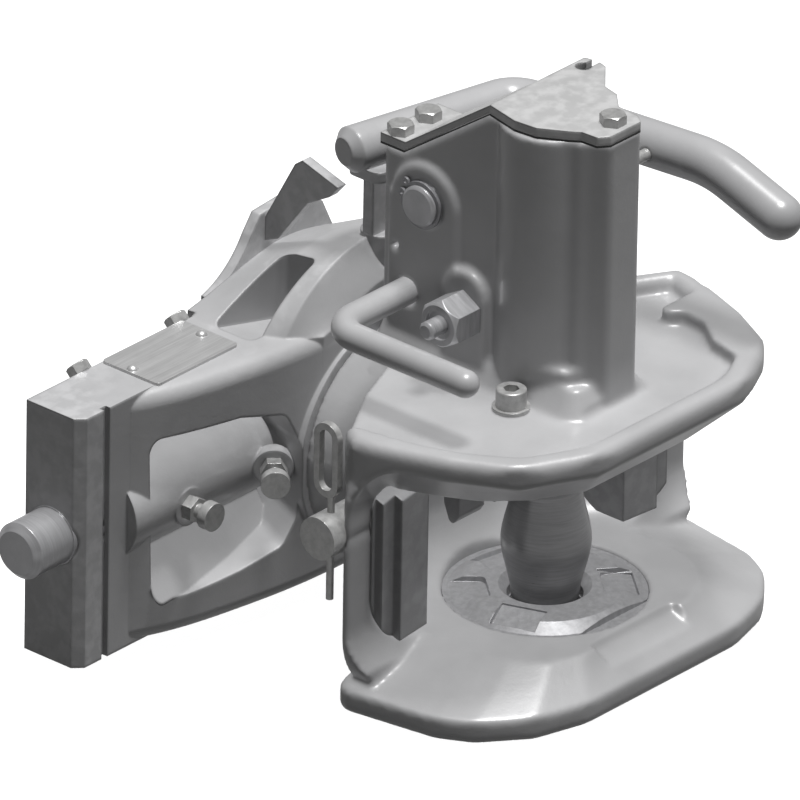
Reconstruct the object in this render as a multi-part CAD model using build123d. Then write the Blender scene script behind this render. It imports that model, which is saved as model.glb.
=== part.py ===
from build123d import *
import math
import os

# Automatic pin coupling for a slide between two rails, sizes in millimetres.
# x runs across the coupling, y points away from the trailer, z points up.
# The origin is the coupling point, where the pin axis meets the swivel axis.

# Fits
RUN = 0.06            # radial play of a turning or sliding fit

# Coupling pin and its stroke
PIN_R = 19.0
PIN_NECK_R = 14.0
PIN_TIP_R = 14.7
PIN_TIP_Z = -50.0
PIN_BELLY_Z = -18.0
PIN_NECK_Z = 5.0
PIN_GUIDE_Z = 38.0
PIN_GUIDE_LENGTH = 34.5
TONGUE_WIDE = 22.0
TONGUE_THICK = 13.0
TONGUE_HIGH = 23.0
FORK_ROOM = 14.0
CROSS_PIN_R = 4.5
CROSS_Z = PIN_GUIDE_Z + PIN_GUIDE_LENGTH + TONGUE_HIGH * 0.65
STROKE = 76.0

# Jaw
MOUTH_FLOOR = -42.0
MOUTH_ROOF = 32.0
MOUTH_HALF = 97.0
MOUTH_BACK = 54.0
LIP_BOTTOM = -65.0
LIP_EDGE = -55.0
RIM_TOP = 62.0
RIM_BOTTOM = 52.0
RIM_ROUND = 5.0
FLOOR_DROP = 7.0
COLUMN_FRONT = 16.0
COLUMN_ROUND = 28.0
SHANK_R = 51.0
SHANK_FACE = 88.5
BUSH_WALL = 2.5
BUSH_LONG = 36.0
TRIGGER_Y = 36.0
TRIGGER_Z = 42.0
SIDE_PIN_R = 9.5
SIDE_PIN_Y = 26.5
SIDE_PIN_Z = 15.0
CLIP_X = -105.5
CLIP_R = 1.6
CLAMP_AT = (-31.0, -6.0, 57.0)
WASHER_HIGH = 1.6

# Tower on the jaw
TOWER_R = 23.5
TOWER_HALF = 18.0
TOWER_BACK = 78.0
TOWER_TOP = 177.0
TOWER_LOW = 144.0
TOWER_WALL = 5.0
RAMP_FRONT = 20.0
RAMP_BACK = 66.0
EAR_FRONT = -35.0
EAR_LEFT = -9.0
EAR_RIGHT = 15.0
COVER_T = 4.0
GASKET_T = 1.0
ROOM_FLOOR = 71.0

# Lifting gear
SHAFT_R = 9.0
SHAFT_Y = 53.0
SHAFT_Z = CROSS_Z + STROKE / 2
FORK_T = 3.5
LEVER_R = 6.0
LEVER_Y = 62.0
LEVER_Z = 82.0
LEVER_ARM = 46.0
LEVER_GRIP = 73.0
SLEEVE_Y = 29.0
SLEEVE_Z = 84.0
SLEEVE_AF = 19.0
SLEEVE_LONG = 15.6
INDICATOR_R = 4.0
INDICATOR_OUT = 8.0

# Wear insert and lower bush
INSERT_R = 43.0
INSERT_TOP = -40.0
INSERT_T = 9.0
BORE_R = 19.6
LOWER_BUSH_T = 4.0

# Carrier
RAIL_HALF = 165.0
RAIL_T = 30.0
RAIL_FRONT = 112.0
CARRIER_HALF_HIGH = 58.0
RAIL_BACK = RAIL_FRONT + RAIL_T
CARRIER_BACK = 147.0
CARRIER_HALF = 134.0
CROWN_TOP = 87.0
WEB_BACK = 112.0
STEM_R = 36.0
THREAD_R = 28.0
NUT_ROOM_R = 43.0
NUT_AF = 64.0
NUT_T = 16.0
WASHER_T = 6.0
COTTER_Y = WEB_BACK + WASHER_T + NUT_T + 2.0
COTTER_R = 1.6
LOCK_R = 12.5
LOCK_GUIDE_R = 13.0
LOCK_Y = 127.4
LOCK_OUT = 22.0
LOCK_LONG = 112.0
LOCK_IN = RAIL_HALF + LOCK_OUT - LOCK_LONG
LOCK_COLLAR = 12.0
LOCK_BEVEL = 3.0
TUNNEL_R = 21.0

# Hand lever
HAND_R = 10.0
HAND_Z = 130.0
POST_X = 6.5
POST_Y = 100.0
POST_WIDE = 15.0
POST_THICK = 5.5
POST_R = 8.0
POST_LOW = 44.0
CAM_T = 9.0
FLAT_T = 5.0
ARM_X = 83.0
HOOK_Y = 10.0
HOOK_R = 2.6

# Outlines of the mouth, seen from above, right half or whole
LIP = [(108, 24), (100, -27), (92, -42), (72, -58), (47, -65)]
LIP_RING = [(64, 24), (62, -22), (58, -32), (48, -44), (32, -51)]
HOOD = [(30, 60), (62, 47), (104, 22), (105, 10), (99, -8), (93, -25), (79, -52), (47, -68)]
HOOD_RING = [(30, 52), (58, 40), (82, 20), (83, 10), (76, -7), (68, -22), (54, -36), (32, -48)]
FLOOR = [(-99, 40), (-90, -8), (-84, -24), (-70, -46), (-42, -60), (42, -60), (60, -50), (64, -34),
         (74, -20), (75, -8), (63, 1), (112, 1), (112, 66), (-26, 66), (-60, 56)]
COVER_LOBE = [(-TOWER_HALF, RAMP_FRONT), (-22, 3), (-21, -8), (-14, -20), (-11, -24), (-10.5, -32), (-6, -35.5),
              (13, -35.5), (16, -31), (17, -20), (25, -12), (27, -4), (41, 8), (42.5, 13), (41.5, RAMP_FRONT)]
CARRIER_FRONT = [(134, 112), (110, 102.5), (82, 96.5), (45, 91.5), (0, 90.5)]
CROWN = ((91, 38, 70), (100, 52, CROWN_TOP), (122, 64, 81), (CARRIER_BACK, 68, 70))
POCKET = [(134, 38), (82, 34), (57, 27), (50, 14), (50, -21), (58, -32), (82, -37), (111, -41), (132, -42)]
EDGE_SCREWS = (-128.5, -68)
EDGE_BEVEL = 5.0
PLATE_T = 1.2
NIPPLES = (((-103, 106.4, -3), (0, -1, 0), 14), ((-58, 100, 0), (-0.707, -0.707, 0), 15.6))


def block(x, y, z):
    """Box between the limits given on each axis."""
    size = Box(x[1] - x[0], y[1] - y[0], z[1] - z[0])
    return Pos((x[0] + x[1]) / 2, (y[0] + y[1]) / 2, (z[0] + z[1]) / 2) * size


def rod(start, end, radius):
    """Round bar between two points."""
    way = Vector(*end) - Vector(*start)
    return extrude(Plane(origin=start, z_dir=way) * Circle(radius), way.length)


def tube(start, end, outer, inner):
    """Round bar with a hole through it."""
    return rod(start, end, outer) - rod(start, end, inner)


def flat(points, low, high, rounds=0.0):
    """Plate with a plan outline, between two heights."""
    outline = make_face(Polyline(*points, close=True))
    if rounds:
        outline = fillet(outline.vertices(), rounds)
    return Pos(0, 0, low) * extrude(outline, high - low)


def mirrored(points):
    """Outline points of the right side, closed with their mirror image."""
    return list(points) + [(-x, y) for x, y in reversed(points)]


def hexagon(start, end, across):
    """Hexagonal bar between two points."""
    way = Vector(*end) - Vector(*start)
    face = Plane(origin=start, z_dir=way) * RegularPolygon(across / 2, 6, major_radius=False)
    return extrude(face, way.length)


def dome_head(start, end, across, chamfer_part=0.12):
    """Bolt head: a hexagon with its outer corners turned off."""
    head = hexagon(start, end, across)
    way = Vector(*end) - Vector(*start)
    cone = Cone(across * (0.5 + chamfer_part + 0.5), across * 0.47, way.length)
    cone = Plane(origin=start, z_dir=way) * Pos(0, 0, way.length / 2) * cone
    return head & cone


def jaw_outer():
    """Bowl from the rim of the mouth back to the swivel shank, with hood and lip."""
    rim_face = Plane.XZ.offset(-18) * Pos(0, -1.5) * RectangleRounded(214, 121, 30)
    root_face = Plane.XZ.offset(-62) * Circle(SHANK_R + 2)
    bowl = loft([rim_face, root_face])
    front = Plane.XZ.offset(-8) * Pos(0, -1.5) * RectangleRounded(214, 121, 30)
    bowl += extrude(front, -10)
    hood = flat(mirrored(HOOD), MOUTH_ROOF + 4, RIM_TOP, 14)
    top = hood.faces().sort_by(Axis.Z)[-1]
    hood = fillet(top.edges(), RIM_ROUND)
    lip = flat(mirrored(LIP), LIP_BOTTOM, LIP_EDGE, 9)
    lip = fillet(lip.faces().sort_by(Axis.Z)[0].edges(), 2.5)
    shank = rod((0, 60, 0), (0, SHANK_FACE, 0), SHANK_R)
    return bowl + hood + lip + shank


def side_window():
    """Side view of the mouth: the air between lip and hood in front of the columns."""
    outline = Polyline((-140, LIP_EDGE), (COLUMN_FRONT, LIP_EDGE), (COLUMN_FRONT, RIM_BOTTOM),
                       (-140, RIM_BOTTOM), close=True)
    face = make_face(outline)
    corners = [v for v in face.vertices() if v.X > 0]
    face = fillet(corners, COLUMN_ROUND)
    turned = Plane.YZ * face
    return Pos(-140, 0, 0) * extrude(turned, 280)


def mouth():
    """Hollow of the mouth behind the rim, with large rounds at the back."""
    plan = make_face(Polyline((MOUTH_HALF, -100), (MOUTH_HALF, 16), (44, MOUTH_BACK), (-44, MOUTH_BACK),
                              (-MOUTH_HALF, 16), (-MOUTH_HALF, -100), close=True))
    plan = fillet([v for v in plan.vertices() if v.Y > 0], 34)
    hollow = Pos(0, 0, MOUTH_FLOOR) * extrude(plan, MOUTH_ROOF - MOUTH_FLOOR)
    floor = hollow.faces().sort_by(Axis.Z)[0]
    back = [e for e in floor.edges() if e.center().Y > -60]
    hollow = fillet(back, 24)
    roof = hollow.faces().sort_by(Axis.Z)[-1]
    return fillet([e for e in roof.edges() if e.center().Y > -60], 10)


def lip_slopes():
    """Faceted ramps of the lip, up to the flat ring round the insert."""
    low = Pos(0, 0, LIP_EDGE) * fillet(make_face(Polyline(*mirrored(LIP), close=True)).vertices(), 9)
    high = Pos(0, 0, MOUTH_FLOOR) * fillet(make_face(Polyline(*mirrored(LIP_RING), close=True)).vertices(), 9)
    return loft([low, high])


def hood_slopes():
    """Funnel-shaped underside of the hood."""
    low = Pos(0, 0, MOUTH_ROOF) * fillet(make_face(Polyline(*mirrored(HOOD_RING), close=True)).vertices(), 9)
    high = Pos(0, 0, RIM_BOTTOM) * fillet(make_face(Polyline(*mirrored(HOOD), close=True)).vertices(), 9)
    return loft([low, high])


def tower_profile(low, back, rise):
    """Side view of the tower with its ramp, from a bottom height to a back face."""
    return Plane.YZ * make_face(Polyline(
        (0, low), (back, low), (back, TOWER_LOW + rise), (RAMP_BACK, TOWER_LOW + rise),
        (RAMP_FRONT, TOWER_TOP + rise), (0, TOWER_TOP + rise), close=True))


def tower_outer():
    """Tower of the jaw: round front over the pin, flat sides, bolt ear at the front."""
    half = TOWER_HALF
    box = Pos(-half, 0, 0) * extrude(tower_profile(30, TOWER_BACK, 0), 2 * half)
    box = fillet(box.edges().filter_by(Axis.Z).group_by(Axis.Y)[-1], 4)
    front = rod((0, 0, 40), (0, 0, TOWER_TOP), TOWER_R) & block((-30, 30), (-30, RAMP_FRONT), (0, 200))
    ear = flat([(EAR_LEFT + 4, EAR_FRONT), (EAR_RIGHT, EAR_FRONT), (EAR_RIGHT, -10), (-14, -10),
                (-12, -24), (EAR_LEFT, -27)], 45, TOWER_TOP, 2.5)
    collar = flat([(-22, -8), (-16, -23), (-9, -27), (4, -28), (4, 0), (-22, 0)], 45, 72, 3)
    arch = rod((-half - 2.5, SHAFT_Y, SHAFT_Z), (-half, SHAFT_Y, SHAFT_Z), 17.5)
    arch += block((-half - 2.5, -half), (SHAFT_Y - 17.5, SHAFT_Y + 19), (60, SHAFT_Z))
    pad = rod((-half - 4, SLEEVE_Y, SLEEVE_Z + 8), (0, SLEEVE_Y, SLEEVE_Z + 8), 11)
    pad += block((-half - 4, 0), (SLEEVE_Y - 11, SLEEVE_Y + 11), (40, SLEEVE_Z + 8))
    foot = loft([
        Pos(0, 22, 50) * RectangleRounded(2 * half + 22, 124, 14),
        Pos(0, 24, 66) * RectangleRounded(2 * half, 108, 5)])
    return box + front + ear + collar + arch + pad + (foot & block((-60, 60), (-34, 76), (48, 70)))


def tower_inside():
    """Room for the pin guide and the lifting gear."""
    inner = TOWER_HALF - TOWER_WALL
    room = extrude(tower_profile(ROOM_FLOOR, TOWER_BACK - TOWER_WALL, 1), 2 * inner)
    room = Pos(-inner, 0, 0) * room
    room -= block((-inner, inner), (TOWER_BACK - 8.5, TOWER_BACK), (TOWER_LOW - 11, TOWER_LOW + 2))
    bore = rod((0, 0, PIN_GUIDE_Z), (0, 0, TOWER_TOP + 1), PIN_R + RUN)
    return room + bore


def jaw_housing():
    """Casting of the jaw: lip, columns, hood, tower and swivel shank in one piece."""
    body = jaw_outer() - side_window()
    body += lip_slopes()
    body += hood_slopes()
    body -= mouth()
    body -= flat(FLOOR, RIM_TOP - FLOOR_DROP, RIM_TOP + 20, 3.5)
    body += tower_outer()
    body += flat([(-28, 40), (28, 40), (20, 76), (-20, 76)], 30, 58, 4)
    # Shank through the carrier, with its thread core
    body += rod((0, SHANK_FACE - 1, 0), (0, WEB_BACK, 0), STEM_R)
    body += rod((0, WEB_BACK - 1, 0), (0, COTTER_Y + 3.5, 0), THREAD_R)
    # Room inside, guide bush seat, insert seat and the hole under it
    body -= tower_inside()
    body -= rod((0, 0, MOUTH_ROOF - 5), (0, 0, MOUTH_ROOF + BUSH_LONG), PIN_R + RUN + BUSH_WALL)
    body -= rod((0, 0, INSERT_TOP - INSERT_T), (0, 0, INSERT_TOP + 3), INSERT_R)
    body -= rod((0, 0, LIP_BOTTOM - 1), (0, 0, -40), BORE_R)
    # Recessed ramp at the middle of the lip
    ramp = extrude(Plane.YZ * make_face(Polyline((-47, -44), (-47, -39), (-80, -52), (-80, -58), close=True)), 52)
    body -= Pos(-26, 0, 0) * ramp
    # Bores of the shaft, the lever, the trigger axle, the sleeve and the screws
    body -= rod((-40, SHAFT_Y, SHAFT_Z), (40, SHAFT_Y, SHAFT_Z), SHAFT_R + RUN)
    body -= rod((-40, LEVER_Y, LEVER_Z), (5, LEVER_Y, LEVER_Z), LEVER_R + RUN)
    body -= rod((-40, SLEEVE_Y, SLEEVE_Z), (0, SLEEVE_Y, SLEEVE_Z), 6.0)
    body -= rod((-24, 68.3, 101.4), (-10, 68.3, 101.4), 2)
    body -= trigger_room()
    body -= rod((-120, SIDE_PIN_Y, SIDE_PIN_Z), (-70, SIDE_PIN_Y, SIDE_PIN_Z), SIDE_PIN_R)
    body -= rod((-THREAD_R - 1, COTTER_Y, 0), (THREAD_R + 1, COTTER_Y, 0), COTTER_R)
    x, y, low = CLAMP_AT
    body -= rod((x, y, low - WASHER_HIGH), (x, y, low + 16), 8.4)
    body -= rod((x, y, low - 18), (x, y, low), 4.0)
    for x, y, low in bolt_places():
        body -= rod((x, y, low - 12), (x, y, low), 3.0)
    return body


def trigger_room():
    """Slot in the roof of the mouth behind the pin, where the trigger swings."""
    slot = block((-25, 25), (24, 50), (MOUTH_ROOF - 14, 52))
    return slot + rod((-31, TRIGGER_Y, TRIGGER_Z), (31, TRIGGER_Y, TRIGGER_Z), 4 + RUN)


def coupling_pin():
    """Barrel-shaped pin with its guide, its flat tongue and the cross pin hole."""
    guide_top = PIN_GUIDE_Z + PIN_GUIDE_LENGTH
    line = [(0, PIN_TIP_Z), (PIN_TIP_R - 3, PIN_TIP_Z), (PIN_TIP_R - 0.6, PIN_TIP_Z + 4), (PIN_TIP_R, -40)]
    outline = Polyline(*line)
    belly = Spline((PIN_TIP_R, -40), (PIN_R - 1.2, PIN_BELLY_Z - 9), (PIN_R, PIN_BELLY_Z),
                   (PIN_R - 1.4, PIN_BELLY_Z + 9), (PIN_NECK_R + 0.8, PIN_NECK_Z))
    upper = Polyline((PIN_NECK_R + 0.8, PIN_NECK_Z), (PIN_NECK_R, PIN_NECK_Z + 1.5), (PIN_NECK_R, PIN_GUIDE_Z - 5),
                     (PIN_R, PIN_GUIDE_Z), (PIN_R, guide_top - 1), (PIN_R - 1, guide_top),
                     (0, guide_top), (0, PIN_TIP_Z))
    body = revolve(Plane.XZ * make_face([outline, belly, upper]), Axis.Z)
    tongue = block((-TONGUE_THICK / 2, TONGUE_THICK / 2), (-TONGUE_WIDE / 2, TONGUE_WIDE / 2),
                   (guide_top - 1, guide_top + TONGUE_HIGH))
    tongue = fillet(tongue.edges().filter_by(Axis.X).group_by(Axis.Z)[-1], 7)
    body += tongue
    # Room for the cheeks of the raised fork
    for side in (-1, 1):
        x = sorted((side * TONGUE_THICK / 2, side * (PIN_R + 1)))
        body -= block(x, (1, PIN_R + 1), (guide_top - FORK_ROOM, guide_top + 1))
    return body - rod((-20, 0, CROSS_Z), (20, 0, CROSS_Z), CROSS_PIN_R)



def cross_pin():
    """Pin through the tongue that the fork lifts."""
    return rod((-11.5, 0, CROSS_Z), (11.5, 0, CROSS_Z), CROSS_PIN_R)


def pin_guide_bush():
    """Bush that guides the pin in the hood."""
    return tube((0, 0, MOUTH_ROOF + 1), (0, 0, MOUTH_ROOF + BUSH_LONG), PIN_R + RUN + BUSH_WALL, PIN_R + RUN)


def wear_insert():
    """Round wear plate under the drawbar eye, with its lobed crown and two notches."""
    low = INSERT_TOP - INSERT_T
    disc = rod((0, 0, low), (0, 0, INSERT_TOP - 3), INSERT_R)
    crown = loft([Pos(0, 0, INSERT_TOP - 3) * Circle(INSERT_R - 2), Pos(0, 0, INSERT_TOP) * Circle(INSERT_R - 9)])
    body = disc + crown
    for angle in (-40, 140):
        notch = flat([(24, -9), (50, -13), (50, 13), (24, 9)], INSERT_TOP - 2.5, INSERT_TOP + 2, 3)
        body -= Rot(0, 0, angle) * notch
    for angle in (80, 200, 320):
        recess = Pos(31, 0, INSERT_TOP) * Rot(0, 12, 0) * Box(15, 20, 5)
        body -= Rot(0, 0, angle) * recess
    body -= block((-50, 50), (-50, -36.5), (INSERT_TOP - 4, INSERT_TOP + 2))
    body -= rod((0, 0, low - 1), (0, 0, INSERT_TOP + 1), PIN_TIP_R + 1.3)
    step = loft([Pos(0, 0, INSERT_TOP - 4) * Circle(PIN_TIP_R + 1.3), Pos(0, 0, INSERT_TOP + 0.01) * Circle(BORE_R)])
    return body - step


def lower_bush():
    """Bush under the insert, where the tip of the pin rests."""
    return tube((0, 0, LIP_BOTTOM + 1), (0, 0, INSERT_TOP - INSERT_T), BORE_R, BORE_R - LOWER_BUSH_T)


def cover_plate(thick, base_z, base_low):
    """Bent plate on the tower: low tab at the back, ramp, and round lobe at the front."""
    lobe = flat(COVER_LOBE, base_z, base_z + thick, 1.2)
    line = [(RAMP_FRONT - 0.5, base_z), (RAMP_FRONT, base_z), (RAMP_BACK, base_low), (TOWER_BACK + 1, base_low),
            (TOWER_BACK + 1, base_low + thick), (RAMP_BACK - 0.6, base_low + thick),
            (RAMP_FRONT - 0.6, base_z + thick), (RAMP_FRONT - 0.9, base_z + thick)]
    ramp = extrude(Plane.YZ * make_face(Polyline(*line, close=True)), 2 * TOWER_HALF)
    return lobe + Pos(-TOWER_HALF, 0, 0) * ramp


def top_cover():
    """Cover of the tower with the slotted ear that holds the control cable."""
    body = cover_plate(COVER_T, TOWER_TOP + GASKET_T, TOWER_LOW + GASKET_T)
    z = TOWER_TOP
    slot = rod((35, 15, z), (35, 15, z + 9), 3.5)
    slot += block((34, 46), (12.4, 16.4), (z, z + 9))
    body -= slot
    for x, y, low in bolt_places():
        body -= rod((x, y, low - 3), (x, y, low + COVER_T + 3), 3.2)
    return body


def cover_gasket():
    """Thin seal under the cover."""
    body = cover_plate(GASKET_T, TOWER_TOP, TOWER_LOW)
    body &= block((-24, 24), (-36, 80), (100, 200))
    inner = TOWER_HALF - TOWER_WALL
    body -= block((-inner, inner), (0, TOWER_BACK - 16), (100, 200))
    body -= rod((0, 0, 100), (0, 0, 200), PIN_R - 1)
    for x, y, low in bolt_places():
        body -= rod((x, y, low - 3), (x, y, low + 3), 3.2)
    return body


def bolt_places():
    """Screws of the cover: one in the front ear, two in the back tab."""
    return [(4, -28, TOWER_TOP + GASKET_T), (-12.3, 73, TOWER_LOW + GASKET_T), (5, 73, TOWER_LOW + GASKET_T)]


def cover_screws():
    """Three hexagon screws of the cover."""
    screws = []
    for x, y, low in bolt_places():
        top = low + COVER_T
        head = dome_head((x, y, top), (x, y, top + 4.5), 10)
        screws.append(head + rod((x, y, top - 14), (x, y, top), 3.0))
    return screws


def lift_shaft():
    """Cross shaft of the lifting fork, grooved for its circlips."""
    end = TOWER_HALF + 6.5
    body = rod((-end + 1.2, SHAFT_Y, SHAFT_Z), (end - 1.2, SHAFT_Y, SHAFT_Z), SHAFT_R)
    for side in (-1, 1):
        tip = loft([Plane(origin=(side * (end - 1.2), SHAFT_Y, SHAFT_Z), z_dir=(side, 0, 0)) * Circle(SHAFT_R),
                    Plane(origin=(side * end, SHAFT_Y, SHAFT_Z), z_dir=(side, 0, 0)) * Circle(SHAFT_R - 1.2)])
        body += tip
    for side in (-1, 1):
        body -= tube((side * (end - 3.4), SHAFT_Y, SHAFT_Z), (side * (end - 2.2), SHAFT_Y, SHAFT_Z), SHAFT_R + 2,
                     SHAFT_R - 0.8)
    return body


def shaft_circlips():
    """Circlips at both ends of the cross shaft, with their eyes."""
    end = TOWER_HALF + 6.5
    rings = []
    for side in (-1, 1):
        a = (side * (end - 3.4), SHAFT_Y, SHAFT_Z)
        b = (side * (end - 2.3), SHAFT_Y, SHAFT_Z)
        ring = tube(a, b, SHAFT_R + 1.6, SHAFT_R - 0.8)
        low, high = sorted((a[0], b[0]))
        ring -= block((low - 1, high + 1), (SHAFT_Y, SHAFT_Y + 14), (SHAFT_Z + 3.8, SHAFT_Z + 7.2))
        for dy, dz in ((10.4, 2.6), (8.6, 8.2)):
            eye = rod((a[0], SHAFT_Y + dy, SHAFT_Z + dz), (b[0], SHAFT_Y + dy, SHAFT_Z + dz), 1.9)
            hole = rod((low - 1, SHAFT_Y + dy, SHAFT_Z + dz), (high + 1, SHAFT_Y + dy, SHAFT_Z + dz), 0.8)
            ring = (ring + eye) - hole
        rings.append(ring)
    return rings


def fork_tilt():
    """Angle of the fork below the level when the pin is down."""
    return math.degrees(math.atan2(STROKE / 2, SHAFT_Y))


def lift_fork():
    """Fork that lifts the pin: a hub on the cross shaft and two slotted cheeks."""
    reach = math.hypot(STROKE / 2, SHAFT_Y) + 2.3
    hub = tube((-11, 0, 0), (11, 0, 0), SHAFT_R + 4.5, SHAFT_R)
    cheeks = []
    for side in (-1, 1):
        a, b = sorted((side * 7.4, side * (7.4 + FORK_T)))
        cheek = extrude(Plane.YZ * make_face(Polyline((-8, -12), (-8, 12), (-reach, 9.6), (-reach, -9.6), close=True)),
                        b - a)
        cheek = Pos(a, 0, 0) * cheek
        cheek -= block((a - 1, b + 1), (-reach - 1, -46), (-CROSS_PIN_R - 2.3, CROSS_PIN_R + 2.3))
        cheeks.append(cheek)
    body = hub + cheeks[0] + cheeks[1]
    body -= rod((-20, 0, 0), (20, 0, 0), SHAFT_R)
    body = Rot(fork_tilt(), 0, 0) * body
    return Pos(0, SHAFT_Y, SHAFT_Z) * body


def release_lever():
    """Bent round lever at the left of the tower with its round end."""
    left = -TOWER_HALF - 2 - LEVER_ARM
    bend = 2.2 * LEVER_R
    path = FilletPolyline((-8, LEVER_Y, LEVER_Z), (left, LEVER_Y, LEVER_Z), (left, LEVER_Y - LEVER_GRIP, LEVER_Z),
                          radius=bend)
    body = sweep(Plane(origin=(-8, LEVER_Y, LEVER_Z), z_dir=(-1, 0, 0)) * Circle(LEVER_R), path)
    return body + Pos(left, LEVER_Y - LEVER_GRIP, LEVER_Z) * Sphere(LEVER_R)


def release_cam():
    """Cam on the inner end of the release lever."""
    body = tube((-8, LEVER_Y, LEVER_Z), (8, LEVER_Y, LEVER_Z), 9.5, 4.0)
    body -= rod((-8, LEVER_Y, LEVER_Z), (0, LEVER_Y, LEVER_Z), LEVER_R)
    return body + Pos(0, LEVER_Y - 13, LEVER_Z) * Box(10, 10, 8)


def indicator_sleeve():
    """Hexagon sleeve on the left pad, which guides the indicator pin."""
    face = -TOWER_HALF - 4
    body = dome_head((face, SLEEVE_Y, SLEEVE_Z), (face - SLEEVE_LONG, SLEEVE_Y, SLEEVE_Z), SLEEVE_AF)
    body += rod((face, SLEEVE_Y, SLEEVE_Z), (face + 8, SLEEVE_Y, SLEEVE_Z), 6.0)
    body -= rod((face - 30, SLEEVE_Y, SLEEVE_Z), (face + 9, SLEEVE_Y, SLEEVE_Z), INDICATOR_R + RUN)
    mouth_end = tube((face - SLEEVE_LONG, SLEEVE_Y, SLEEVE_Z), (face - SLEEVE_LONG + 1.5, SLEEVE_Y, SLEEVE_Z), 6.5, 4.0)
    return body - mouth_end


def indicator_pin():
    """Pin that stands out of the sleeve while the coupling is locked."""
    face = -TOWER_HALF - 4
    tip = face - SLEEVE_LONG - INDICATOR_OUT
    body = rod((tip + 1.2, SLEEVE_Y, SLEEVE_Z), (face + 10, SLEEVE_Y, SLEEVE_Z), INDICATOR_R)
    body += loft([Plane(origin=(tip + 1.2, SLEEVE_Y, SLEEVE_Z), z_dir=(-1, 0, 0)) * Circle(INDICATOR_R),
                  Plane(origin=(tip, SLEEVE_Y, SLEEVE_Z), z_dir=(-1, 0, 0)) * Circle(INDICATOR_R - 1.2)])
    return body + rod((face + 9, SLEEVE_Y, SLEEVE_Z), (face + 11, SLEEVE_Y, SLEEVE_Z), INDICATOR_R + 1)


def coil(start, way, radius, wire, pitch, turns):
    """Spring wire wound round an axis."""
    path = Helix(pitch=pitch, height=pitch * turns, radius=radius)
    body = sweep(Plane(origin=path @ 0, z_dir=path % 0) * Circle(wire), path)
    return Plane(origin=start, z_dir=way) * body


def closing_spring():
    """Twisting spring round the hub of the fork, which drives the pin down."""
    return coil((-5.4, SHAFT_Y, SHAFT_Z), (1, 0, 0), SHAFT_R + 6.0, 1.2, 3.2, 3)


def clamp_screw():
    """Socket head screw beside the tower, which holds the guide bush."""
    x, y, low = CLAMP_AT
    body = rod((x, y, low), (x, y, low + 8), 6.5)
    body = fillet(body.edges().group_by(Axis.Z)[-1], 0.8)
    body += rod((x, y, low - 16), (x, y, low), 4.0)
    return body - hexagon((x, y, low + 3.5), (x, y, low + 9), 6.0)


def clamp_washer():
    """Washer under the socket head screw."""
    x, y, low = CLAMP_AT
    return tube((x, y, low - WASHER_HIGH), (x, y, low), 8.0, 4.2)


def wing(side):
    """Stepped bumper plate at one side of the mouth, cut to the wall and the floor behind it."""
    high = MOUTH_ROOF - 2
    body = None
    for outer, inner, front in ((97, 88, 14), (90, 79, 11.5), (81, 62, 9)):
        plate = flat([(side * outer, 60), (side * outer, front), (side * inner, front + 2),
                      (side * inner, 60)], MOUTH_FLOOR + 3, high)
        body = plate if body is None else body + plate
    bevel = Plane.YZ * make_face(Polyline((0, high - 7), (24, high + 1), (0, high + 1), close=True))
    body -= Pos(-110, 0, 0) * extrude(bevel, 220)
    body &= mouth()
    if side < 0:
        body -= rod((-120, SIDE_PIN_Y, SIDE_PIN_Z), (-70, SIDE_PIN_Y, SIDE_PIN_Z), SIDE_PIN_R)
    return body


def side_pin():
    """Pin through the left column, which holds the bumper plate."""
    body = rod((-114, SIDE_PIN_Y, SIDE_PIN_Z), (-74, SIDE_PIN_Y, SIDE_PIN_Z), SIDE_PIN_R)
    return body - rod((CLIP_X, SIDE_PIN_Y, -20), (CLIP_X, SIDE_PIN_Y, 40), CLIP_R + RUN)


def linch_clip():
    """Wire clip through the side pin: a straight leg and a narrow loop above."""
    y = SIDE_PIN_Y
    leg = rod((CLIP_X, y, SIDE_PIN_Z - 31), (CLIP_X, y, SIDE_PIN_Z + 19), CLIP_R)
    frame = Plane(origin=(CLIP_X - CLIP_R, y + 2, SIDE_PIN_Z + 33), x_dir=(0, 0, 1), z_dir=(1, 0, 0))
    loop = extrude(frame * SlotOverall(34, 13), 2 * CLIP_R)
    hole = extrude(frame * SlotOverall(28, 7), 2 * CLIP_R)
    return leg + (loop - hole)


def trigger_lever():
    """Forked trigger at the back of the mouth that the drawbar eye pushes."""
    hub = tube((-22, TRIGGER_Y, TRIGGER_Z), (22, TRIGGER_Y, TRIGGER_Z), 7.5, 4 + RUN)
    body = hub
    for low, high in ((-21, -5), (5, 20)):
        prong = extrude(Plane.YZ * make_face(Polyline(
            (TRIGGER_Y - 6, TRIGGER_Z), (TRIGGER_Y + 5, TRIGGER_Z), (TRIGGER_Y + 2, -8), (TRIGGER_Y - 2, -18),
            (TRIGGER_Y - 6, -12), close=True)), high - low)
        prong = fillet(prong.edges().filter_by(Axis.X).group_by(Axis.Z)[0], 2)
        body += Pos(low, 0, 0) * prong
    return body - rod((-30, TRIGGER_Y, TRIGGER_Z), (30, TRIGGER_Y, TRIGGER_Z), 4 + RUN)


def trigger_axle():
    """Axle of the trigger in the hood."""
    return rod((-30.5, TRIGGER_Y, TRIGGER_Z), (30.5, TRIGGER_Y, TRIGGER_Z), 4)


def crown():
    """Low arch on top of the carrier over the swivel, widest at the back."""
    sections = []
    for y, half, top in CROWN:
        arch = Spline((-half, 57), (-half * 0.45, top - 5), (0, top), (half * 0.45, top - 5), (half, 57))
        base = Polyline((half, 57), (half, 40), (-half, 40), (-half, 57))
        sections.append(Pos(0, y, 0) * (Plane.XZ * make_face([arch, base])))
    return loft(sections, ruled=True)


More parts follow.
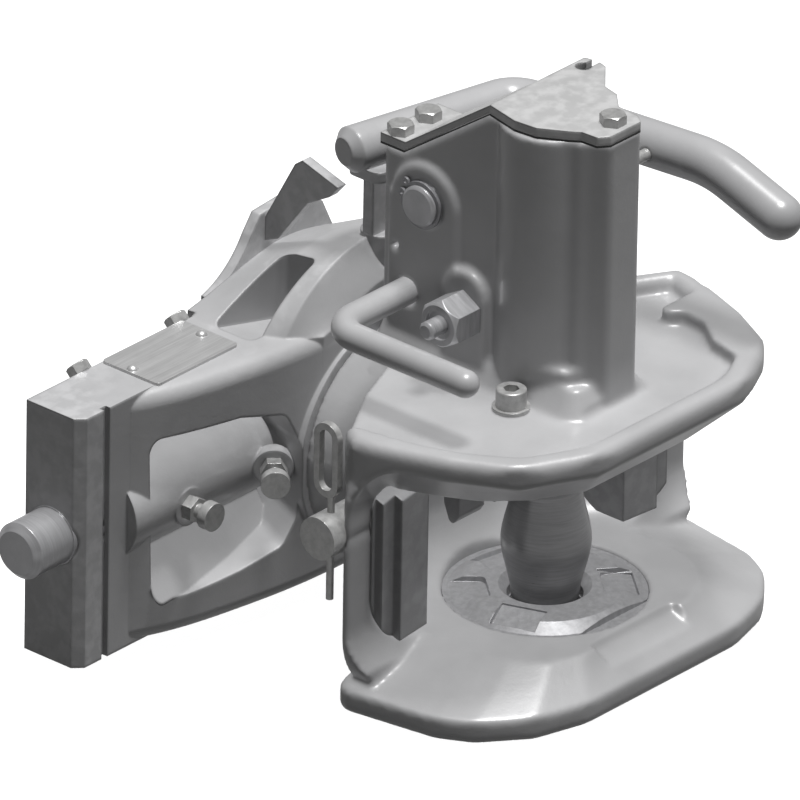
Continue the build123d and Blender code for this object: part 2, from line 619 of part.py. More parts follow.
def pocket(side):
    """Deep pocket in the front of the carrier, with the tunnel of the locking pin across it."""
    wide = make_face(Polyline(*[(side * x, z) for x, z in POCKET], close=True))
    wide = Pos(-side * 92, 2, 0) * fillet(wide.vertices(), 7)
    faces = []
    for y, size in ((88, 1.06), (126, 0.84)):
        faces.append(Pos(side * 92, y, -2) * (Plane.XZ * scale(wide, size)))
    return loft(faces)


def ramp_web(side):
    """Sloping lower web of a pocket, which rises towards the rail."""
    face = Plane.YZ * make_face(Polyline((100, -46), (132, -46), (132, 10), close=True))
    web = extrude(face, 84)
    low = 50 if side > 0 else -134
    return Pos(low, 0, 0) * web


def carrier():
    """Casting that slides between the rails and carries the swivel."""
    front = Spline(*(CARRIER_FRONT + [(-x, y) for x, y in reversed(CARRIER_FRONT[:-1])]))
    half = CARRIER_HALF
    rear = Polyline((-half, RAIL_FRONT), (-half, CARRIER_BACK), (half, CARRIER_BACK), (half, RAIL_FRONT))
    body = Pos(0, 0, -CARRIER_HALF_HIGH) * extrude(make_face([front, rear]), 2 * CARRIER_HALF_HIGH)
    edges = [e for e in body.edges() if abs(abs(e.center().Z) - CARRIER_HALF_HIGH) < 0.1
             and e.center().Y < 108 and e.length > 100]
    body = fillet(edges, 7)
    rails = block((-RAIL_HALF, RAIL_HALF), (RAIL_FRONT, RAIL_BACK), (-CARRIER_HALF_HIGH, CARRIER_HALF_HIGH))
    body += chamfer(rails.edges().filter_by(Axis.Z).group_by(Axis.Y)[0], 4)
    body += rod((0, SHANK_FACE, 0), (0, 100, 0), SHANK_R + 3)
    body += crown()
    bevel = Plane.YZ * make_face(Polyline(
        (CARRIER_BACK - EDGE_BEVEL, CARRIER_HALF_HIGH), (CARRIER_BACK, CARRIER_HALF_HIGH - EDGE_BEVEL),
        (CARRIER_BACK + 9, CARRIER_HALF_HIGH + 9), close=True))
    body -= Pos(-CARRIER_HALF, 0, 0) * extrude(bevel, CARRIER_HALF - 60)
    for side in (-1, 1):
        body -= pocket(side)
        web = ramp_web(side) & pocket(side)
        body += web
        tunnel = rod((side * 50, LOCK_Y, 0), (side * 136, LOCK_Y, 0), TUNNEL_R)
        body += tunnel & block((-140, 140), (80, CARRIER_BACK), (-30, 30))
        body -= rod((side * (LOCK_IN - 30), LOCK_Y, 0), (side * (RAIL_HALF + 5), LOCK_Y, 0), LOCK_GUIDE_R + RUN)
        body -= rod((side * (LOCK_IN - 25), LOCK_Y, 0), (side * (LOCK_IN + 20), LOCK_Y, 0), LOCK_GUIDE_R + 4)
        # Groove between the rail strip and the cast front
        groove = sorted((side * (RAIL_HALF - 18), side * (RAIL_HALF - 14.5)))
        body -= block(groove, (RAIL_FRONT - 2, RAIL_FRONT + 2.5), (-70, 70))
    # Shank bore, room for the nut and the cam, open at the back
    body -= rod((0, 80, 0), (0, 150, 0), STEM_R + RUN)
    body -= rod((0, WEB_BACK, 0), (0, 160, 0), NUT_ROOM_R)
    body -= block((POST_X - 21, POST_X + 14), (POST_Y - 13, 160), (POST_LOW - 1, POST_LOW + CAM_T + 1))
    for side in (-1, 1):
        x = sorted((side * 60, side * 128))
        body -= block(x, (133, 160), (25, 47))
        body -= block(x, (133, 160), (-47, -25))
    # Sloped recess in the top, bearing of the post, holes of the screws
    body -= top_recess()
    body -= rod((POST_X, POST_Y, POST_LOW), (POST_X, POST_Y, 120), POST_R + RUN)
    for x in EDGE_SCREWS:
        base, step = edge_screw_axis(x)
        body -= rod(tuple(base - step * 8), tuple(base + step), 3)
    # Seats of the nipples
    for start, way, long in NIPPLES:
        base = Vector(*start)
        step = Vector(*way).normalized()
        body += rod(tuple(base - step * 6), tuple(base), 8.5)
        body -= rod(tuple(base - step * 6), tuple(base + step), 5)
    return body


def edge_screw_axis(x):
    """Seat and outward direction of a screw on the bevel of the back edge."""
    base = Vector(x, CARRIER_BACK - EDGE_BEVEL / 2, CARRIER_HALF_HIGH - EDGE_BEVEL / 2)
    return base, Vector(0, 1, 1).normalized()


def top_recess():
    """Recess with a sloped floor in the top of the carrier, beside the crown."""
    hole = flat([(-63, 109), (-22, 109), (-20, 130), (-63, 130)], 40, 90, 4)
    slope = extrude(Plane.XZ * make_face(Polyline((-66, 40), (-16, 40), (-16, 45), (-66, 57.5), close=True)), -60)
    return hole - Pos(0, 90, 0) * slope


def rating_plate():
    """Bare plate on the carrier's top."""
    top = CARRIER_HALF_HIGH
    back = CARRIER_BACK - EDGE_BEVEL - 0.5
    return flat([(-119.5, 110), (-69.5, 110), (-69.5, back), (-119.5, back)], top, top + PLATE_T, 2)


def plate_rivets():
    """Two round rivets of the plate."""
    top = CARRIER_HALF_HIGH + PLATE_T
    rivets = []
    for x in (-116.4, -73.7):
        head = Pos(x, 127, top - 1.2) * Sphere(2.8)
        rivets.append(head & block((x - 5, x + 5), (122, 132), (top, top + 4)))
    return rivets


def lube_nipples():
    """Two button-head grease nipples in the left pocket."""
    nipples = []
    for start, way, long in NIPPLES:
        base = Vector(*start)
        step = Vector(*way).normalized()
        places = [tuple(base + step * part) for part in (-6, 0, 5, long - 4.5, long)]
        body = rod(places[0], places[1], 5)
        body += hexagon(places[1], places[2], 10)
        body += rod(places[2], places[3], 3.2)
        body += rod(places[3], places[4], 6.2)
        nipples.append(body)
    return nipples


def lock_pin(side):
    """Locking pin of one side: its guided part is thicker, its free end has a flat and a bevel."""
    out = RAIL_HALF + LOCK_OUT
    step = RAIL_HALF + 0.3
    body = rod((side * LOCK_IN, LOCK_Y, 0), (side * step, LOCK_Y, 0), LOCK_GUIDE_R)
    body += rod((side * step, LOCK_Y, 0), (side * (out - LOCK_BEVEL), LOCK_Y, 0), LOCK_R)
    body += loft([Plane(origin=(side * (out - LOCK_BEVEL), LOCK_Y, 0), z_dir=(side, 0, 0)) * Circle(LOCK_R),
                  Plane(origin=(side * out, LOCK_Y, 0), z_dir=(side, 0, 0)) * Circle(LOCK_R - LOCK_BEVEL)])
    low, high = sorted((side * (out - 17), side * (out + 1)))
    cut = Pos((low + high) / 2, LOCK_Y, 0) * Rot(45, 0, 0) * Pos(0, 0, -LOCK_R) * Box(high - low, 30, 4)
    body -= cut
    # Collar that the spring pushes on
    at = side * (LOCK_IN + LOCK_COLLAR)
    return body + rod((at, LOCK_Y, 0), (at + side * 5, LOCK_Y, 0), LOCK_GUIDE_R + 3)


def lock_spring(side):
    """Spring that drives a locking pin out."""
    return coil((side * (LOCK_IN - 23.4), LOCK_Y, 0), (side, 0, 0), LOCK_GUIDE_R + 2.0, 1.3, 6.5, 5)


def hand_lever():
    """Round bar of the hand lever: behind the tower, forward beside it, and down to the grip."""
    start = (-10, 102, HAND_Z)
    corner = (ARM_X - 11, 84, HAND_Z)
    grip = (ARM_X, -52, HAND_Z - 12)
    path = FilletPolyline(start, corner, (ARM_X, -17, HAND_Z), grip, radius=[12, 60])
    way = Vector(*corner) - Vector(*start)
    bar = sweep(Plane(origin=start, z_dir=way) * Circle(HAND_R), path)
    bar += Pos(*grip) * Sphere(HAND_R)
    tip_at = Vector(*start) - way.normalized() * 4
    bar += loft([Plane(origin=start, z_dir=-way) * Circle(HAND_R),
                 Plane(origin=tip_at, z_dir=-way) * Circle(HAND_R - 4)])
    return bar - rod((ARM_X - 24, HOOK_Y, HAND_Z), (ARM_X + 20, HOOK_Y, HAND_Z), HOOK_R + RUN)


def lever_plate():
    """Flat bar under the hand lever, over the post."""
    top = HAND_Z - HAND_R
    return flat([(-5, 91.5), (60, 77.5), (62, 96), (-5, 111)], top - FLAT_T, top, 5)


def lever_post():
    """Post of the hand lever: flat above the crown, round in its bearing."""
    shoulder = CROWN_TOP + 1
    body = block((POST_X - POST_WIDE / 2, POST_X + POST_WIDE / 2),
                 (POST_Y - POST_THICK / 2, POST_Y + POST_THICK / 2), (shoulder, HAND_Z - HAND_R - FLAT_T))
    return body + rod((POST_X, POST_Y, POST_LOW), (POST_X, POST_Y, shoulder), POST_R)


def lock_cam():
    """Cam on the lower end of the post, over the shank nut."""
    body = rod((POST_X, POST_Y, POST_LOW), (POST_X, POST_Y, POST_LOW + CAM_T), 10.5)
    body += flat([(POST_X - 4, POST_Y), (POST_X + 4, POST_Y), (POST_X + 3, POST_Y + 19), (POST_X - 3, POST_Y + 19)],
                 POST_LOW, POST_LOW + CAM_T)
    return body - rod((POST_X, POST_Y, POST_LOW - 1), (POST_X, POST_Y, POST_LOW + CAM_T + 1), POST_R)


def wire_hook():
    """Wire hook in the cross hole of the hand lever."""
    x, y, z = ARM_X + 12, HOOK_Y, HAND_Z
    path = FilletPolyline((x, y, z), (x - 34, y, z), (x - 36, y + 24, z + 3), (x - 44, y + 32, z + 3), radius=5)
    return sweep(Plane(origin=(x, y, z), z_dir=(-1, 0, 0)) * Circle(HOOK_R), path)


def guard_plate():
    """Upright plate behind the post, which stops the lever at rest."""
    outline = [(140, 76), (CARRIER_BACK, 73), (CARRIER_BACK, 84), (131, 114), (127, 117), (107, 111), (112, 105),
               (124, 98)]
    face = Plane.YZ * make_face(Polyline(*outline, close=True))
    return Pos(-12, 0, 0) * extrude(face, 5)


def back_plate():
    """Curved plate on the back of the carrier, which holds the upright plate."""
    curve = ThreePointArc((-46, 58), (-30, 67), (-21, 78))
    rest = Polyline((-21, 78), (-15, 86), (10, 88), (24, 78), (32, 62), (32, 48), (-46, 48), (-46, 58))
    face = Plane.XZ * make_face([curve, rest])
    return Pos(0, CARRIER_BACK + 5, 0) * extrude(face, 5)


def edge_screws():
    """Hexagon screws on the bevel of the carrier's back edge."""
    screws = []
    for x in EDGE_SCREWS:
        base, step = edge_screw_axis(x)
        head = dome_head(tuple(base), tuple(base + step * 4.5), 9)
        screws.append(head + rod(tuple(base - step * 8), tuple(base), 3))
    return screws


def shank_washer():
    """Thrust washer behind the carrier's web."""
    return tube((0, WEB_BACK, 0), (0, WEB_BACK + WASHER_T, 0), STEM_R + 5, THREAD_R)


def shank_nut():
    """Nut on the shank."""
    low = WEB_BACK + WASHER_T
    body = hexagon((0, low, 0), (0, low + NUT_T, 0), NUT_AF)
    return body - rod((0, low - 1, 0), (0, low + NUT_T + 1, 0), THREAD_R)


def cotter_pin():
    """Split pin through the shank behind its nut."""
    return rod((-THREAD_R - 6, COTTER_Y, 0), (THREAD_R + 6, COTTER_Y, 0), COTTER_R)


def save(name, shape):
    """Write one node."""
    if isinstance(shape, list):
        shape = Compound(children=shape)
    export_step(shape, "parts/" + name + ".step")


def main():
    os.makedirs("parts", exist_ok=True)
    save("jaw_housing", jaw_housing())
    save("coupling_pin", coupling_pin())
    save("cross_pin", cross_pin())
    save("pin_guide_bush", pin_guide_bush())
    save("wear_insert", wear_insert())
    save("lower_bush", lower_bush())
    save("top_cover", top_cover())
    save("cover_gasket", cover_gasket())
    save("cover_screws", cover_screws())
    save("lift_shaft", lift_shaft())
    save("shaft_circlips", shaft_circlips())
    save("lift_fork", lift_fork())
    save("closing_spring", closing_spring())
    save("release_lever", release_lever())
    save("release_cam", release_cam())
    save("indicator_sleeve", indicator_sleeve())
    save("indicator_pin", indicator_pin())
    save("clamp_screw", clamp_screw())
    save("clamp_washer", clamp_washer())
    save("left_wing", wing(-1))
    save("right_wing", wing(1))
    save("side_pin", side_pin())
    save("linch_clip", linch_clip())
    save("trigger_lever", trigger_lever())
    save("trigger_axle", trigger_axle())
    save("carrier", carrier())
    save("rating_plate", rating_plate())
    save("plate_rivets", plate_rivets())
    save("lube_nipples", lube_nipples())
    for side, name in ((-1, "left"), (1, "right")):
        save(name + "_lock_pin", lock_pin(side))
        save(name + "_lock_spring", lock_spring(side))
    save("hand_lever", hand_lever())
    save("lever_plate", lever_plate())
    save("lever_post", lever_post())
    save("lock_cam", lock_cam())
    save("wire_hook", wire_hook())
    save("guard_plate", guard_plate())
    save("back_plate", back_plate())
    save("edge_screws", edge_screws())
    save("shank_washer", shank_washer())
    save("shank_nut", shank_nut())
    save("cotter_pin", cotter_pin())


if __name__ == "__main__":
    main()
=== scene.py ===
import math

import bpy
from mathutils import Matrix, Vector


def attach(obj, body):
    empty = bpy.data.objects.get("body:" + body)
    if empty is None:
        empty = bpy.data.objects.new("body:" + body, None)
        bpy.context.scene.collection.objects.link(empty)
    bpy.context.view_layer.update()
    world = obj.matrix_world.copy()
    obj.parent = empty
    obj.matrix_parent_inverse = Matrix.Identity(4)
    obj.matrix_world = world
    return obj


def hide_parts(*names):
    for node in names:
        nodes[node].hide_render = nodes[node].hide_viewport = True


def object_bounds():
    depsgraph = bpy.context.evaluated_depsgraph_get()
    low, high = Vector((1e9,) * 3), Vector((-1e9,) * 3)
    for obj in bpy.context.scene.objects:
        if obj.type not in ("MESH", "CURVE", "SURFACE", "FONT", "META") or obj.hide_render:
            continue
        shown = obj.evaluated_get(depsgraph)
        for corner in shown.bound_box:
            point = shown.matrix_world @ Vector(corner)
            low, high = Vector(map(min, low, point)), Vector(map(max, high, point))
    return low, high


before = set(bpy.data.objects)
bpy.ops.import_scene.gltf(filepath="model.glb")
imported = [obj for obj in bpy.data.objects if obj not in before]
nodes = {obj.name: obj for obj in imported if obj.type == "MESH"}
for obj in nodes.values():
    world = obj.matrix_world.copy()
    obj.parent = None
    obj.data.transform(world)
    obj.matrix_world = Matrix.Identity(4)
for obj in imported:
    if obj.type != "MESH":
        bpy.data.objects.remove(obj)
cad_box = [list(corner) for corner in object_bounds()]

# Light and colours
KEY_LIGHT = 1.7
EVEN_LIGHT = 3.4
SKY_LIGHT = 0.07
SUN_ANGLE = 12.0
MIDDLE = Vector((0.0, 0.05, 0.03))
CAST_GREY = (0.36, 0.36, 0.365)
# Darker grey for the wings and trigger lever: painted shade standing in for the shade these parts sit in, not
# a paint of their own
SHADE_PAINTED_GREY = (0.24, 0.24, 0.245)
SHEET_GREY = (0.37, 0.37, 0.37)
STEEL = (0.40, 0.40, 0.41)
DARK_STEEL = (0.25, 0.25, 0.255)
ZINC = (0.42, 0.42, 0.415)
BRONZE = (0.45, 0.30, 0.12)
PALE = (0.90, 0.90, 0.90)
FLOOR_BOUNCE = (0.06, 0.06, 0.06)
FLOOR_MIRRORED = (0.28, 0.28, 0.28)


class Value:
    """A socket that can be used in sums and products."""

    def __init__(self, maker, socket):
        self.maker = maker
        self.socket = socket

    def joined(self, operation, first, second):
        return self.maker.node("ShaderNodeMath", {"operation": operation}, {0: first, 1: second})[0]

    def __add__(self, other):
        return self.joined("ADD", self, other)

    def __radd__(self, other):
        return self.joined("ADD", other, self)

    def __sub__(self, other):
        return self.joined("SUBTRACT", self, other)

    def __mul__(self, other):
        return self.joined("MULTIPLY", self, other)

    def __rmul__(self, other):
        return self.joined("MULTIPLY", other, self)

    def between(self, low, high):
        """0 below low, 1 above high, even in between."""
        return self.maker.node("ShaderNodeMapRange", {"clamp": True},
                               {"Value": self, "From Min": low, "From Max": high})[0]


class Maker:
    """Builds the nodes of one material."""

    def __init__(self, name):
        self.material = bpy.data.materials.new(name)
        self.material.use_nodes = True
        self.tree = self.material.node_tree
        self.shader = self.tree.nodes["Principled BSDF"]

    def node(self, kind, settings=None, values=None):
        """One node of a kind, with its settings and then its inputs; gives its outputs."""
        made = self.tree.nodes.new(kind)
        for key, setting in (settings or {}).items():
            setattr(made, key, setting)
        for key, value in (values or {}).items():
            self.feed(made.inputs[key], value)
        return [Value(self, output) for output in made.outputs]

    def feed(self, socket, value):
        if isinstance(value, Value):
            self.tree.links.new(value.socket, socket)
        else:
            socket.default_value = value

    def place(self):
        """Object coordinates."""
        return self.node("ShaderNodeTexCoord")[3]

    def stretched(self, scale):
        """Object coordinates drawn out along some ways."""
        return self.node("ShaderNodeMapping", {"vector_type": "POINT"},
                         {"Vector": self.place(), "Scale": scale})[0]

    def noise(self, where, scale, detail=4.0, rough=0.5):
        return self.node("ShaderNodeTexNoise", {"noise_dimensions": "3D"},
                         {"Vector": where, "Scale": scale, "Detail": detail, "Roughness": rough})[0]

    def mixed(self, part, first, second):
        """Colour between two colours."""
        made = self.node("ShaderNodeMix", {"data_type": "RGBA"}, {0: part, 6: first, 7: second})
        return made[2]

    def bumped(self, height, strength, distance, soft_edge=0.0):
        values = {"Height": height, "Strength": strength, "Distance": distance}
        if soft_edge:
            values["Normal"] = self.node("ShaderNodeBevel", {"samples": 6}, {"Radius": soft_edge})[0]
        return self.node("ShaderNodeBump", None, values)[0]

    def finish(self, **sockets):
        for key, value in sockets.items():
            self.feed(self.shader.inputs[key.replace("_", " ").title()], value)
        return self.material


def rgba(colour, times=1.0):
    return (colour[0] * times, colour[1] * times, colour[2] * times, 1.0)


def cast_paint(name, colour, grain=1.0, gloss=0.34):
    """Grey enamel over a sand casting: a fine orange peel, soft hollows and rubbed edges."""
    make = Maker(name)
    place = make.place()
    fine = make.noise(place, 900.0, 3.0)
    sand = make.noise(place, 260.0, 5.0, 0.6)
    broad = make.noise(place, 34.0, 3.0)
    dust = make.noise(place, 60.0, 6.0, 0.65).between(0.52, 0.80)
    height = sand * 0.55 + fine * 0.25 + broad * 0.9
    edge = make.node("ShaderNodeNewGeometry")[7].between(0.53, 0.60)
    worn = edge * make.noise(place, 160.0, 4.0).between(0.42, 0.62)
    tone = make.mixed(broad.between(0.35, 0.65), rgba(colour, 0.95), rgba(colour, 1.05))
    tone = make.mixed(dust * 0.12, tone, rgba(colour, 0.85))
    tone = make.mixed(worn * 0.45, tone, rgba(colour, 1.45))
    normal = make.bumped(height, 0.20 * grain, 0.0006, 0.0018)
    rough = sand * 0.16 + dust * 0.10 + (gloss - 0.05)
    return make.finish(base_color=tone, roughness=rough, normal=normal, coat_weight=0.25, coat_roughness=0.22,
                       metallic=0.0)


def ground_steel(name, colour, along=(60.0, 60.0, 900.0), rough=0.26):
    """Ground or turned steel with fine marks along one way."""
    make = Maker(name)
    marks = make.noise(make.stretched(along), 1.0, 5.0, 0.6)
    cloud = make.noise(make.place(), 70.0, 4.0)
    tone = make.mixed(marks.between(0.3, 0.7), rgba(colour, 0.86), rgba(colour, 1.12))
    tone = make.mixed(cloud.between(0.5, 0.8) * 0.25, tone, rgba(colour, 0.7))
    normal = make.bumped(marks, 0.10, 0.0003, 0.0005)
    return make.finish(base_color=tone, metallic=0.45, roughness=marks * 0.14 + cloud * 0.10 + (rough - 0.08),
                       normal=normal)


def plated(name, colour, rough=0.30):
    """Zinc plated small parts, slightly cloudy."""
    make = Maker(name)
    cloud = make.noise(make.place(), 300.0, 5.0, 0.6)
    spots = make.noise(make.place(), 900.0, 3.0).between(0.62, 0.75)
    tone = make.mixed(cloud.between(0.35, 0.65), rgba(colour, 0.84), rgba(colour, 1.1))
    tone = make.mixed(spots * 0.35, tone, rgba(colour, 0.55))
    return make.finish(base_color=tone, metallic=0.45, roughness=cloud * 0.22 + (rough - 0.05),
                       normal=make.bumped(cloud, 0.08, 0.0003, 0.0004))


def black_rubber(name):
    """Matt seal."""
    make = Maker(name)
    grain = make.noise(make.place(), 1200.0, 3.0)
    tone = make.mixed(grain.between(0.3, 0.7), (0.02, 0.02, 0.02, 1), (0.05, 0.05, 0.05, 1))
    return make.finish(base_color=tone, roughness=grain * 0.1 + 0.68, normal=make.bumped(grain, 0.2, 0.0003))


def bare_plate(name):
    """Fine brushed aluminium of the bare rating plate."""
    make = Maker(name)
    lines = make.noise(make.stretched((30.0, 1400.0, 60.0)), 1.0, 4.0, 0.7)
    cloud = make.noise(make.place(), 120.0, 4.0)
    tone = make.mixed(lines.between(0.3, 0.7), (0.46, 0.46, 0.46, 1), (0.60, 0.60, 0.60, 1))
    return make.finish(base_color=tone, metallic=0.55, roughness=lines * 0.18 + cloud * 0.12 + 0.22,
                       normal=make.bumped(lines, 0.08, 0.0002, 0.0003))


def dress(names, material):
    """Gives one material to CAD nodes."""
    for name in names.split():
        for entry in nodes[name].material_slots:
            entry.material = material


casting = cast_paint("grey_cast_enamel", CAST_GREY)
dress("jaw_housing carrier", casting)
# Wings and trigger lever get the cast enamel in a darker grey, as painted shade
dress("left_wing right_wing trigger_lever", cast_paint("painted_shade_cast_enamel", SHADE_PAINTED_GREY, 0.8))
dress("hand_lever release_lever lever_plate lever_post guard_plate back_plate",
      cast_paint("grey_bar_enamel", CAST_GREY, 0.35, 0.28))
dress("top_cover", cast_paint("pale_sheet_enamel", SHEET_GREY, 0.3, 0.30))
dress("coupling_pin", ground_steel("hardened_pin_steel", DARK_STEEL, (60, 60, 1100), 0.27))
dress("left_lock_pin right_lock_pin cross_pin lift_shaft trigger_axle indicator_pin",
      ground_steel("turned_steel", STEEL, (1100, 60, 60), 0.27))
dress("wear_insert lower_bush", ground_steel("insert_steel", (0.40, 0.40, 0.41), (420, 420, 60), 0.33))
dress("lift_fork release_cam lock_cam indicator_sleeve shank_washer",
      ground_steel("milled_steel", (0.42, 0.42, 0.43), (700, 90, 90), 0.32))
dress("pin_guide_bush", ground_steel("bearing_bronze", BRONZE, (60, 60, 700), 0.3))
zinc_plate = plated("zinc_plate", ZINC)
dress("cover_screws clamp_screw clamp_washer edge_screws side_pin linch_clip", zinc_plate)
dress("lube_nipples wire_hook shank_nut cotter_pin", zinc_plate)
dress("shaft_circlips closing_spring left_lock_spring right_lock_spring",
      plated("spring_steel", (0.26, 0.26, 0.27), 0.34))
dress("cover_gasket", black_rubber("seal_rubber"))
dress("rating_plate plate_rivets", bare_plate("bare_plate"))


# Jaw casting, in millimetres: right half of the outlines of lip and hood, and what the cast form adds
MM = 0.001
LIP = [(108, 24), (100, -27), (92, -42), (72, -58), (47, -65)]
HOOD = [(30, 60), (62, 47), (104, 22), (105, 10), (99, -8), (93, -25), (79, -52), (47, -68)]
LIP_ROUND = 46.0
HOOD_ROUND = 62.0
ROUNDS_END = -2.0
LIP_CUT = (-70.0, -40.5)
LIP_CUT_REAR = -10.0
HOOD_CUT = (31.0, 70.0)
HOOD_CUT_REAR = -6.0
WELL_OUTSIDE = 150.0
BEAD_INSET = 6.2
BEAD_HEIGHT = 56.4
BEAD_R = 5.7
BEAD_LEFT_END = 24.0
BEAD_RIGHT_END = 28.0
CAST_GRAIN = 1.4
SOFT_ROUNDS = 3
PIN_ROOM_R = 19.4
PIN_ROOM = (30.0, 178.0)
PIN_ROOM_SIDES = 120
MOST_TRIANGLES = 190000
JOINED = 0.00001


def rounded(points, radius):
    """Points of a line whose corners towards the front are rounded."""
    made = []
    for index, point in enumerate(points):
        here = Vector(point)
        if index in (0, len(points) - 1) or point[1] > ROUNDS_END:
            made.append(here)
            continue
        before = Vector(points[index - 1]) - here
        after = Vector(points[index + 1]) - here
        turn = math.pi - before.angle(after)
        reach = radius * math.tan(turn / 2)
        reach = min(reach, before.length * 0.49, after.length * 0.49)
        first = here + before.normalized() * reach
        last = here + after.normalized() * reach
        steps = max(2, int(math.degrees(turn) / 4))
        for step in range(steps + 1):
            part = step / steps
            made.append(first * (1 - part) ** 2 + here * 2 * part * (1 - part) + last * part ** 2)
    return made


def both_sides(points):
    """Right half and its mirror image as one line from the right rear to the left rear."""
    return list(points) + [(-x, y) for x, y in reversed(points)]


def choose(piece):
    """Selects one piece alone."""
    bpy.ops.object.select_all(action="DESELECT")
    bpy.context.view_layer.objects.active = piece
    piece.select_set(True)


def in_edit(piece, *jobs):
    """Does the jobs on the whole mesh of a piece in edit mode."""
    choose(piece)
    bpy.ops.object.mode_set(mode="EDIT")
    bpy.ops.mesh.select_all(action="SELECT")
    for job in jobs:
        job()
    bpy.ops.object.mode_set(mode="OBJECT")


def face_outwards():
    bpy.ops.mesh.select_all(action="SELECT")
    bpy.ops.mesh.normals_make_consistent(inside=False)


def join_corners():
    bpy.ops.mesh.remove_doubles(threshold=JOINED)


def prism(name, line, heights):
    """Upright block over a closed line, between two heights."""
    low, high = heights
    rise = (0, 0, (high - low) * MM)
    bpy.ops.object.select_all(action="DESELECT")
    bpy.ops.mesh.primitive_circle_add(vertices=len(line), radius=1.0, fill_type="NGON")
    piece = bpy.context.object
    piece.name = name
    for vertex, point in zip(piece.data.vertices, line):
        vertex.co = (point[0] * MM, point[1] * MM, low * MM)
    in_edit(piece,
            lambda: bpy.ops.mesh.extrude_region_move(TRANSFORM_OT_translate={"value": rise}),
            face_outwards)
    return piece


def tube(name, line, height, radius):
    """Round bar along a level line."""
    data = bpy.data.curves.new(name, "CURVE")
    data.dimensions = "3D"
    data.bevel_depth = radius * MM
    data.bevel_resolution = 5
    data.use_fill_caps = True
    spline = data.splines.new("POLY")
    spline.points.add(len(line) - 1)
    for knot, point in zip(spline.points, line):
        knot.co = (point[0] * MM, point[1] * MM, height * MM, 1.0)
    piece = bpy.data.objects.new(name, data)
    bpy.context.collection.objects.link(piece)
    choose(piece)
    bpy.ops.object.convert(target="MESH")
    in_edit(piece, join_corners, face_outwards)
    return piece


def modified(piece, kind, **settings):
    """Adds a modifier with its settings and applies it."""
    modifier = piece.modifiers.new(kind.lower(), kind)
    for key, setting in settings.items():
        setattr(modifier, key, setting)
    choose(piece)
    bpy.ops.object.modifier_apply(modifier=modifier.name)


def combined(piece, other, operation):
    """Adds or takes away another piece, which goes."""
    modified(piece, "BOOLEAN", operation=operation, solver="EXACT", object=other)
    bpy.data.objects.remove(other)


def copied(node, name):
    """Own mesh of a CAD node, in the place of the node, with its corners joined."""
    source = nodes[node]
    piece = bpy.data.objects.new(name, source.data.copy())
    piece.data.transform(source.matrix_world)
    bpy.context.collection.objects.link(piece)
    in_edit(piece, join_corners)
    return piece


def softened(piece):
    """Rounds every edge as a sand casting has it."""
    modified(piece, "REMESH", mode="VOXEL", voxel_size=CAST_GRAIN * MM)
    modified(piece, "SMOOTH", factor=0.5, iterations=SOFT_ROUNDS)
    count = sum(len(face.vertices) - 2 for face in piece.data.polygons)
    if count > MOST_TRIANGLES:
        modified(piece, "DECIMATE", ratio=MOST_TRIANGLES / count)
    bpy.ops.object.shade_smooth()


def inset(line, amount):
    """Line moved inwards; it runs from the right rear round the front."""
    made = []
    for index, point in enumerate(line):
        ahead = line[min(index + 1, len(line) - 1)] - line[max(index - 1, 0)]
        inwards = Vector((-ahead.y, ahead.x)).normalized()
        if inwards.dot(point) > 0:
            inwards = -inwards
        made.append(point + inwards * amount)
    return made


def outside(line, rear):
    """Closed line round what stands out of a line before a rear edge."""
    kept = [point for point in line if point.y <= rear]
    far = WELL_OUTSIDE
    return kept + [Vector((-far, kept[-1].y)), Vector((-far, -far)), Vector((far, -far)),
                   Vector((far, kept[0].y))]


def circle(radius, sides):
    """Points of a level circle round the pin's axis."""
    turns = [math.tau * step / sides for step in range(sides)]
    return [(radius * math.cos(turn), radius * math.sin(turn)) for turn in turns]


def cast_jaw():
    """Jaw casting with the large rounds of its lip and hood and the bead round the hood."""
    jaw = copied("jaw_housing", "jaw_casting")
    lip = rounded(both_sides(LIP), LIP_ROUND)
    hood = rounded(both_sides(HOOD), HOOD_ROUND)
    combined(jaw, prism("lip_waste", outside(lip, LIP_CUT_REAR), LIP_CUT), "DIFFERENCE")
    combined(jaw, prism("hood_waste", outside(hood, HOOD_CUT_REAR), HOOD_CUT), "DIFFERENCE")
    bead = [point for point in inset(hood, BEAD_INSET) if point.x > BEAD_RIGHT_END or point.y < BEAD_LEFT_END]
    combined(jaw, tube("hood_bead", bead, BEAD_HEIGHT, BEAD_R), "UNION")
    softened(jaw)
    combined(jaw, prism("pin_room", circle(PIN_ROOM_R, PIN_ROOM_SIDES), PIN_ROOM), "DIFFERENCE")
    jaw.data.materials.clear()
    jaw.data.materials.append(casting)
    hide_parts("jaw_housing")
    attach(jaw, "jaw")


cast_jaw()


# Camera of the photograph: a long lens, so the view is nearly parallel
RIGHT = Vector((0.6612, -0.7500, 0.0155)).normalized()
UP = Vector((0.3361, 0.3147, 0.8877))
UP = (UP - RIGHT * UP.dot(RIGHT)).normalized()
BACK = RIGHT.cross(UP)
AIM = Vector((-0.0143, 0.0691, 0.0265))
AWAY = 10.0
VIEW_WIDTH = 0.33195


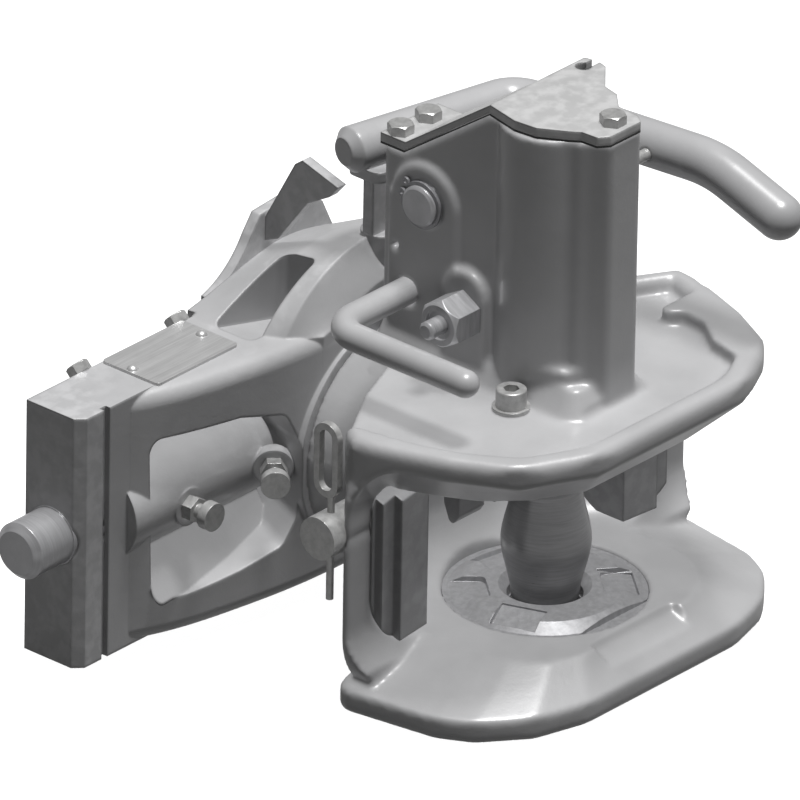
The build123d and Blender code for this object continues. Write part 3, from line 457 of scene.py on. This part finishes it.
def camera():
    """Camera of the photograph."""
    data = bpy.data.cameras.new("photo_camera")
    data.sensor_width = 36.0
    data.lens = 36.0 * AWAY / VIEW_WIDTH
    data.clip_end = 60.0
    made = bpy.data.objects.new("photo_camera", data)
    bpy.context.collection.objects.link(made)
    at = AIM + BACK * AWAY
    turn = Matrix((RIGHT, UP, BACK)).transposed().to_4x4()
    made.matrix_world = Matrix.Translation(at) @ turn
    bpy.context.scene.camera = made


def sun(name, energy, at, shadows):
    """Soft sun that shines from a place on the middle of the coupling."""
    data = bpy.data.lights.new(name, "SUN")
    data.energy = energy
    data.use_shadow = shadows
    data.angle = math.radians(SUN_ANGLE)
    made = bpy.data.objects.new(name, data)
    made.location = at
    made.rotation_euler = (MIDDLE - Vector(at)).to_track_quat("-Z", "Y").to_euler()
    bpy.context.collection.objects.link(made)


def lights():
    """Two suns and a weak sky that the camera sees as white."""
    sun("key_lamp", KEY_LIGHT, (0.28, -0.30, 3.0), True)
    sun("even_lamp", EVEN_LIGHT, (0.10, -0.36, 3.0), False)
    world = bpy.data.worlds.new("studio")
    bpy.context.scene.world = world
    world.use_nodes = True
    tree = world.node_tree
    sky = tree.nodes["Background"]
    sky.inputs[0].default_value = (1, 1, 1, 1)
    sky.inputs[1].default_value = SKY_LIGHT
    seen = tree.nodes.new("ShaderNodeBackground")
    seen.inputs[0].default_value = (1, 1, 1, 1)
    seen.inputs[1].default_value = 1.0
    path = tree.nodes.new("ShaderNodeLightPath")
    pick = tree.nodes.new("ShaderNodeMixShader")
    tree.links.new(path.outputs["Is Camera Ray"], pick.inputs[0])
    tree.links.new(sky.outputs[0], pick.inputs[1])
    tree.links.new(seen.outputs[0], pick.inputs[2])
    tree.links.new(pick.outputs[0], tree.nodes["World Output"].inputs[0])


def floor():
    """White ground that throws little light back on the coupling."""
    bpy.ops.object.select_all(action="DESELECT")
    low = cad_box[0][2]
    bpy.ops.mesh.primitive_plane_add(size=12.0, location=(0, 0, low - 0.0005))
    made = bpy.context.object
    made.name = "studio_floor"
    make = Maker("pale_floor")
    path = make.node("ShaderNodeLightPath")
    tone = make.mixed(path[0], rgba(FLOOR_BOUNCE), rgba(PALE))
    tone = make.mixed(path[3], tone, rgba(FLOOR_MIRRORED))
    make.finish(base_color=tone, roughness=0.9)
    made.data.materials.append(make.material)


camera()
lights()
floor()

bpy.context.scene.view_settings.view_transform = "Standard"
